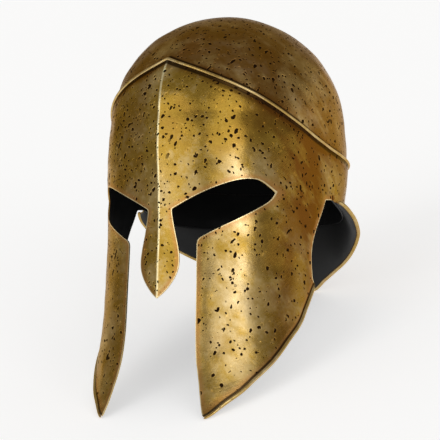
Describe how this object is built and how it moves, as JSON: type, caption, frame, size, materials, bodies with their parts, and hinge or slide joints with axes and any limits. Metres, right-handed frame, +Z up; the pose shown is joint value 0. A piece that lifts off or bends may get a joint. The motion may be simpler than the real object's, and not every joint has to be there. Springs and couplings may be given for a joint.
{
  "type": "corinthian helmet",
  "caption": "Domed bronze war helmet with slanting eye openings, a nasal, long pointed cheek plates, ear cut-outs and a flared neck guard.",
  "frame": {"origin": "on the floor under the middle of the helmet as it rests on its cheek tips and the rear of its neck guard", "axes": "+Z up, the face looks along -Y, the wearer's left is +X"},
  "size_m": [0.2334, 0.364, 0.3008],
  "materials": {
    "dome_bronze": "aged, satin, with small dark pits",
    "face_bronze": "aged, half polished, with dark pits",
    "guard_bronze": "aged outside, black satin paint inside",
    "rim_bronze": "worn bright"
  },
  "bodies": {
    "root": {"crown": "dome_bronze", "face_shell": "face_bronze", "neck_guard": "guard_bronze", "brow_bead": "rim_bronze", "cheek_bead_left": "rim_bronze", "cheek_bead_right": "rim_bronze", "neck_bead": "rim_bronze"}
  },
  "joints": []
}
